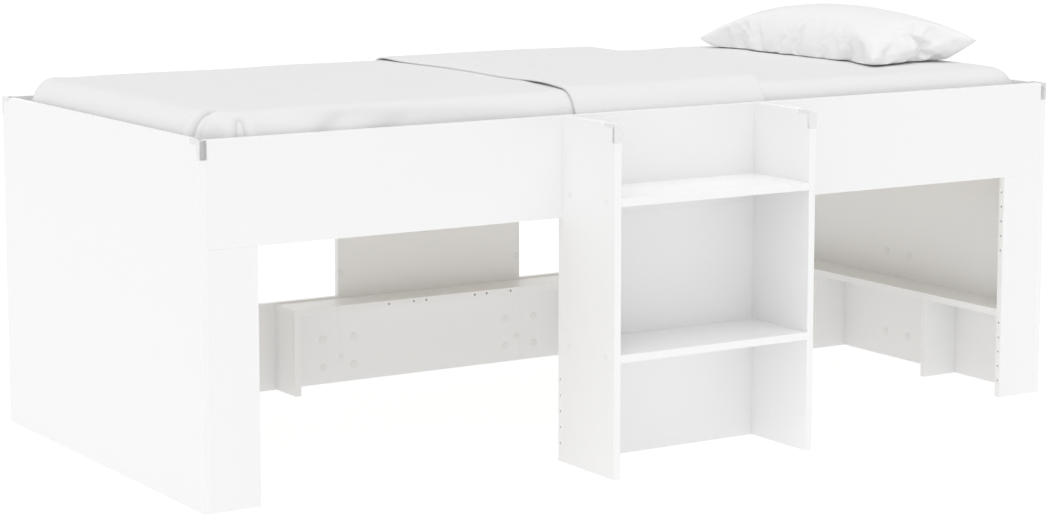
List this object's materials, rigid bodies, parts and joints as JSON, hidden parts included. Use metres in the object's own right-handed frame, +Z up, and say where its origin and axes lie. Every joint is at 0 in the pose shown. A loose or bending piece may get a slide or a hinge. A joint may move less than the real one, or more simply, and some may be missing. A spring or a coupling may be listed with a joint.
{
  "type": "cabin bed",
  "caption": "Raised single bed of white boards with a step ladder at its front, open bays and low shelves underneath, and a mattress, folded-back quilt and pillow on top.",
  "frame": {"origin": "on the floor, under the middle of the bed with its ladder", "axes": "+X along the bed from the foot to the head, +Y from the ladder to the wall side, +Z up"},
  "size_m": [2.04, 1.12, 0.8337],
  "materials": {
    "board_white": "particle board faced and edged with white melamine, satin to light gloss",
    "slat_wood": "planed pine, uncoated",
    "screw_steel": "zinc-plated steel",
    "cam_zinc": "die-cast zinc, dull",
    "guard_clear": "soft clear plastic, smooth",
    "mattress_sheet": "white fitted sheet, fine plain weave",
    "quilt_cotton": "white cotton, smooth outside and a slubbed linen weave inside",
    "pillow_cotton": "white cotton pillowcase, fine weave"
  },
  "bodies": {
    "root": {"back_centre_board": "board_white", "back_ledger": "slat_wood", "back_leg_left": "board_white", "back_leg_right": "board_white", "back_rail": "board_white", "back_shelf": "board_white", "back_shelf_support_left": "board_white", "back_shelf_support_right": "board_white", "cam_bolts": "screw_steel", "cam_locks": "cam_zinc", "foot_back_guard": "guard_clear", "foot_front_guard": "guard_clear", "foot_panel_back": "board_white", "foot_panel_front": "board_white", "front_centre_board": "board_white", "front_ledger": "slat_wood", "front_leg_left": "board_white", "front_leg_right": "board_white", "front_rail": "board_white", "head_back_guard": "guard_clear", "head_front_guard": "guard_clear", "head_panel_back": "board_white", "head_panel_front": "board_white", "head_shelf": "board_white", "head_shelf_support_back": "board_white", "head_shelf_support_front": "board_white", "ladder_left_guard": "guard_clear", "ladder_right_guard": "guard_clear", "ladder_screws": "screw_steel", "ladder_side_left": "board_white", "ladder_side_right": "board_white", "low_back_board_left": "board_white", "low_back_board_right": "board_white", "lower_step": "board_white", "mattress": "mattress_sheet", "pillow": "pillow_cotton", "quilt": "quilt_cotton", "slats": "slat_wood", "step_screws": "screw_steel", "support_screws": "screw_steel", "upper_step": "board_white"}
  },
  "joints": []
}
